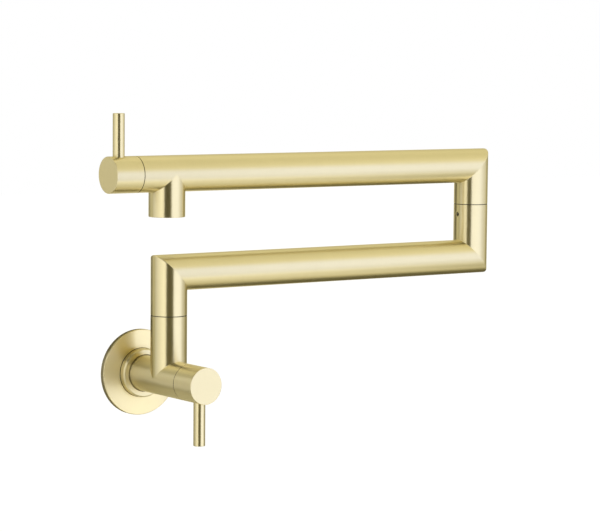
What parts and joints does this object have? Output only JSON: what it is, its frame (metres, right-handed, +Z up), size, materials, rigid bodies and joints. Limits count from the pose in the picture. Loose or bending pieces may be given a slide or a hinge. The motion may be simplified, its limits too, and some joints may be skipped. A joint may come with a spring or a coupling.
{
  "type": "wall mounted pot filler",
  "caption": "Wall mounted pot filler with a folding double-jointed swing arm, a quarter-turn lever valve at the wall and another at the spout.",
  "frame": {"origin": "on the wall plane, where the wall valve's axis meets it", "axes": "+X along the wall to the right, +Y into the wall, +Z up; arms folded flat along the wall"},
  "size_m": [0.3255, 0.1036, 0.2228],
  "materials": {
    "brushed_gold": "satin brushed, pale gold",
    "raw_brass": "machined, unplated",
    "stainless": "bright stainless steel",
    "rubber": "matte black rubber",
    "ceramic": "lapped white alumina",
    "dark_plastic": "dark acetal",
    "white_plastic": "off-white acetal",
    "fibre": "red-brown sealing fibre"
  },
  "bodies": {
    "wall_body": {"wall_flange": "brushed_gold", "flange_collar": "brushed_gold", "flange_gasket": "rubber", "flange_set_screw": "stainless", "inlet_nipple": "raw_brass", "inlet_washer": "fibre", "wall_valve_body": "brushed_gold", "wall_cartridge_housing": "raw_brass", "wall_seat_seal": "rubber", "wall_fixed_disc": "ceramic", "wall_head_o_ring": "rubber", "riser_set_screw": "stainless", "riser_slip_washer": "dark_plastic"},
    "wall_handle": {"wall_handle_hub": "brushed_gold", "wall_lever": "brushed_gold", "wall_grub_screw": "stainless", "wall_spindle": "raw_brass", "wall_spindle_o_ring": "rubber", "wall_moving_disc": "ceramic", "wall_stop_ring": "white_plastic", "wall_spindle_clip": "stainless"},
    "lower_arm": {"lower_arm_stub": "brushed_gold", "lower_arm_tube": "brushed_gold", "lower_arm_post": "brushed_gold", "riser_spigot": "raw_brass", "riser_o_ring_upper": "rubber", "riser_o_ring_lower": "rubber", "post_socket": "raw_brass", "post_set_screw": "stainless", "post_slip_washer": "dark_plastic"},
    "upper_arm": {"upper_arm_stub": "brushed_gold", "upper_arm_tube": "brushed_gold", "post_spigot": "raw_brass", "post_o_ring_upper": "rubber", "post_o_ring_lower": "rubber", "spout_valve_body": "brushed_gold", "spout_cartridge_housing": "raw_brass", "spout_seat_seal": "rubber", "spout_fixed_disc": "ceramic", "spout_head_o_ring": "rubber", "aerator_housing": "raw_brass", "aerator_insert": "white_plastic", "aerator_washer": "rubber"},
    "spout_handle": {"spout_handle_hub": "brushed_gold", "spout_lever": "brushed_gold", "spout_grub_screw": "stainless", "spout_spindle": "raw_brass", "spout_spindle_o_ring": "rubber", "spout_moving_disc": "ceramic", "spout_stop_ring": "white_plastic", "spout_spindle_clip": "stainless"}
  },
  "joints": [
    {"name": "wall_valve_turn", "type": "hinge", "parent": "wall_body", "child": "wall_handle", "pos_m": [0, -0.0662, 0], "axis": [0, 1, 0], "range_deg": [0, 90]},
    {"name": "lower_arm_swing", "type": "hinge", "parent": "wall_body", "child": "lower_arm", "pos_m": [0, -0.0404, 0.0435], "axis": [0, 0, 1], "range_deg": [-180, 0]},
    {"name": "upper_arm_swing", "type": "hinge", "parent": "lower_arm", "child": "upper_arm", "pos_m": [0.2647, -0.0404, 0.11175], "axis": [0, 0, 1], "continuous": true},
    {"name": "spout_valve_turn", "type": "hinge", "parent": "upper_arm", "child": "spout_handle", "pos_m": [-0.0269, -0.0404, 0.14025], "axis": [1, 0, 0], "range_deg": [0, 90]}
  ]
}
